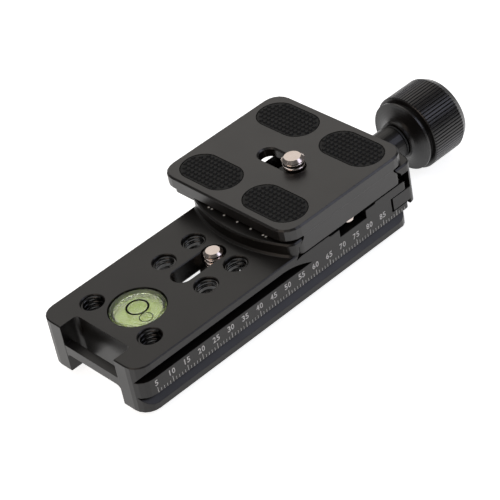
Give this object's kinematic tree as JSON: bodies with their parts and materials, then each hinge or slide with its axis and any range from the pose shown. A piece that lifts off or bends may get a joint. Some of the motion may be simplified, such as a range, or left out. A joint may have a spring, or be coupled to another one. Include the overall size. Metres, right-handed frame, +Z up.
{
  "type": "nodal rail",
  "caption": "Short dovetail camera rail with a scale, bubble level, tapped holes and a screw clamp that holds a padded quick-release plate.",
  "frame": {"origin": "On the rail's flat underside, below the middle of the clamp and on the rail's centre line.", "axes": "+X runs along the rail towards the clamp knob, -Y is the side with the scale, +Z is up, out of the plate's padded face."},
  "size_m": [0.1278, 0.0487, 0.0277],
  "materials": {
    "black_anodised": "bead-blasted, anodised warm black, satin",
    "black_turned": "turned and fluted, anodised black",
    "bright_steel": "bright turned stainless steel",
    "dark_nylon": "moulded dark nylon",
    "black_rubber": "moulded rubber with fine raised dots",
    "clear_plastic": "clear moulded acrylic",
    "level_liquid": "clear tinted liquid",
    "yellow_green_plastic": "bright yellow-green moulded plastic"
  },
  "bodies": {
    "rail": {"rail_body": "black_anodised", "level_vial": "clear_plastic", "level_liquid": "level_liquid", "level_backing": "yellow_green_plastic"},
    "jaw": {"moving_jaw": "black_anodised", "guide_pin_near": "bright_steel", "guide_pin_far": "bright_steel", "jaw_spring_near": "bright_steel", "jaw_spring_far": "bright_steel", "thrust_washer": "dark_nylon"},
    "knob": {"clamp_knob": "black_turned", "clamp_screw": "bright_steel"},
    "plate": {"quick_release_plate": "black_anodised", "plate_pad_1": "black_rubber", "plate_pad_2": "black_rubber", "plate_pad_3": "black_rubber", "plate_pad_4": "black_rubber", "safety_stop_near": "bright_steel", "safety_stop_far": "bright_steel"},
    "plate_screw_slider": {"plate_screw_washer": "dark_nylon"},
    "plate_screw_turner": {"plate_screw": "bright_steel"},
    "rail_screw_slider": {"rail_screw_washer": "dark_nylon"},
    "rail_screw_lifter": {"rail_screw_thrust_ring": "bright_steel"},
    "rail_screw_turner": {"rail_screw": "bright_steel"}
  },
  "joints": [
    {"name": "jaw_slide", "type": "slide", "parent": "rail", "child": "jaw", "axis": [1, 0, 0], "range_m": [0, 0.0045], "deforming": ["jaw_spring_near", "jaw_spring_far"]},
    {"name": "knob_turn", "type": "hinge", "parent": "jaw", "child": "knob", "pos_m": [0.04, 0, 0.0089], "axis": [1, 0, 0], "range_deg": [0, 2025]},
    {"name": "plate_slide", "type": "slide", "parent": "rail", "child": "plate", "axis": [0, 1, 0], "range_m": [-0.0173, 0.0065]},
    {"name": "plate_screw_slide", "type": "slide", "parent": "plate", "child": "plate_screw_slider", "axis": [0, 1, 0], "range_m": [0, 0.0097]},
    {"name": "plate_screw_turn", "type": "hinge", "parent": "plate_screw_slider", "child": "plate_screw_turner", "pos_m": [0, 0.0006, 0.02], "axis": [0, 0, 1], "continuous": true},
    {"name": "rail_screw_slide", "type": "slide", "parent": "rail", "child": "rail_screw_slider", "axis": [1, 0, 0], "range_m": [-0.01, 0]},
    {"name": "rail_screw_lift", "type": "slide", "parent": "rail_screw_slider", "child": "rail_screw_lifter", "axis": [0, 0, 1], "range_m": [0, 0.0033]},
    {"name": "rail_screw_turn", "type": "hinge", "parent": "rail_screw_lifter", "child": "rail_screw_turner", "pos_m": [-0.0315, 0, 0.009], "axis": [0, 0, 1], "continuous": true}
  ],
  "couplings": [
    {"joint": "knob_turn", "follows": "jaw_slide", "rad_per_m": 7854}
  ]
}
